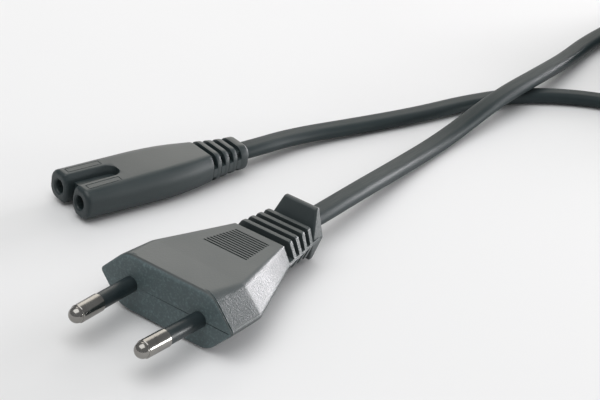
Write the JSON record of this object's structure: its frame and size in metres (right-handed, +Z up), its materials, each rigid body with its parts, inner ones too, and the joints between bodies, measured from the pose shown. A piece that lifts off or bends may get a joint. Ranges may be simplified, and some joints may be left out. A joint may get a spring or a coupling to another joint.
{
  "type": "europlug",
  "caption": "Flat europlug with sleeved round pins, a ribbed strain relief and pull flange, moulded on a flat lead that ends in a figure-eight connector.",
  "frame": {"origin": "on the table under the middle of the plug's box, pins and flange included and cord left out", "axes": "+Z up, the plug lies flat on z = 0; the pins point to -Y and the cord leaves to +Y; +X across the pins"},
  "size_m": [0.1102, 0.3074, 0.0156],
  "materials": {
    "moulding": "satin moulded PVC",
    "bridge": "matt moulded",
    "pins": "nickel plated, turned",
    "sleeves": "satin",
    "contacts": "bare, formed",
    "conductors": "bare copper strand",
    "core_brown": "satin",
    "core_blue": "satin",
    "cord": "satin extruded PVC",
    "tie": "matt"
  },
  "bodies": {
    "root": {"plug_body": "moulding", "pin_bridge": "bridge", "pin_left": "pins", "pin_right": "pins", "pin_sleeve_left": "sleeves", "pin_sleeve_right": "sleeves", "plug_core_brown": "core_brown", "plug_core_blue": "core_blue", "plug_conductor_brown": "conductors", "plug_conductor_blue": "conductors", "cord_plug_lead": "cord", "cord_coil": "cord", "coil_tie": "tie", "cord_connector_lead": "cord", "connector_body": "moulding", "connector_insert": "bridge", "contact_left": "contacts", "contact_right": "contacts", "connector_core_brown": "core_brown", "connector_core_blue": "core_blue", "connector_conductor_brown": "conductors", "connector_conductor_blue": "conductors"}
  },
  "joints": []
}
